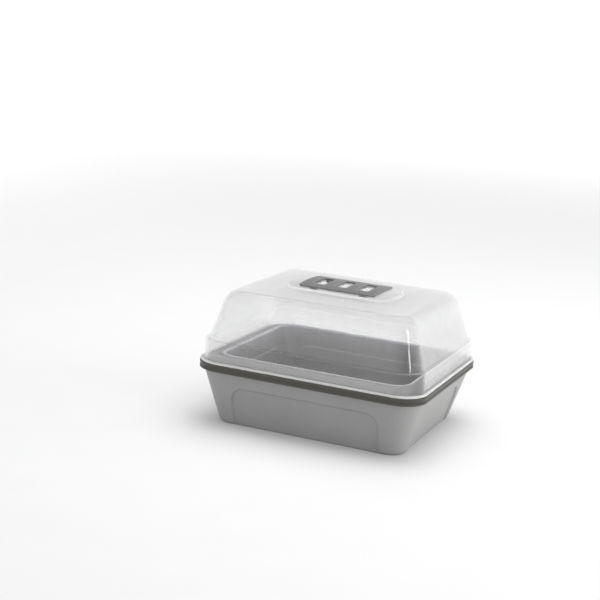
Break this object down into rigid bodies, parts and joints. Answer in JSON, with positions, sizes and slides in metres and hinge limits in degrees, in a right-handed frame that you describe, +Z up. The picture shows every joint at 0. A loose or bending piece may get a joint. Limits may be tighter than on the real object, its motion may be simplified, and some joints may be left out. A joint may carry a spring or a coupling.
{
  "type": "mini greenhouse",
  "caption": "Windowsill mini greenhouse: water tray, growing tray hung in it by its rim, clear dome lid standing on the rim, and a sliding vent on the roof.",
  "frame": {"origin": "middle of the water tray's flat underside, on the surface that the greenhouse stands on", "axes": "+X along the long side of the trays, +Y to the back, +Z up"},
  "size_m": [0.27, 0.234, 0.1608],
  "materials": {
    "tray_plastic": "light grey polypropylene, moulded, fine satin texture",
    "dark_plastic": "dark olive grey polypropylene, moulded, satin",
    "clear_plastic": "clear polystyrene, moulded, glossy",
    "slider_plastic": "mid grey polypropylene, moulded, satin"
  },
  "bodies": {
    "water_tray": {"water_tray": "tray_plastic"},
    "growing_tray": {"growing_tray": "dark_plastic"},
    "dome_lid": {"dome_lid": "clear_plastic"},
    "vent_slider": {"vent_slider": "slider_plastic"}
  },
  "joints": [
    {"name": "growing_tray_lift", "type": "slide", "parent": "water_tray", "child": "growing_tray", "axis": [0, 0, 1], "range_m": [0, 0.09]},
    {"name": "lid_lift", "type": "slide", "parent": "growing_tray", "child": "dome_lid", "axis": [0, 0, 1], "range_m": [0, 0.15]},
    {"name": "vent_slide", "type": "slide", "parent": "dome_lid", "child": "vent_slider", "axis": [1, 0, 0], "range_m": [0, 0.013]}
  ]
}
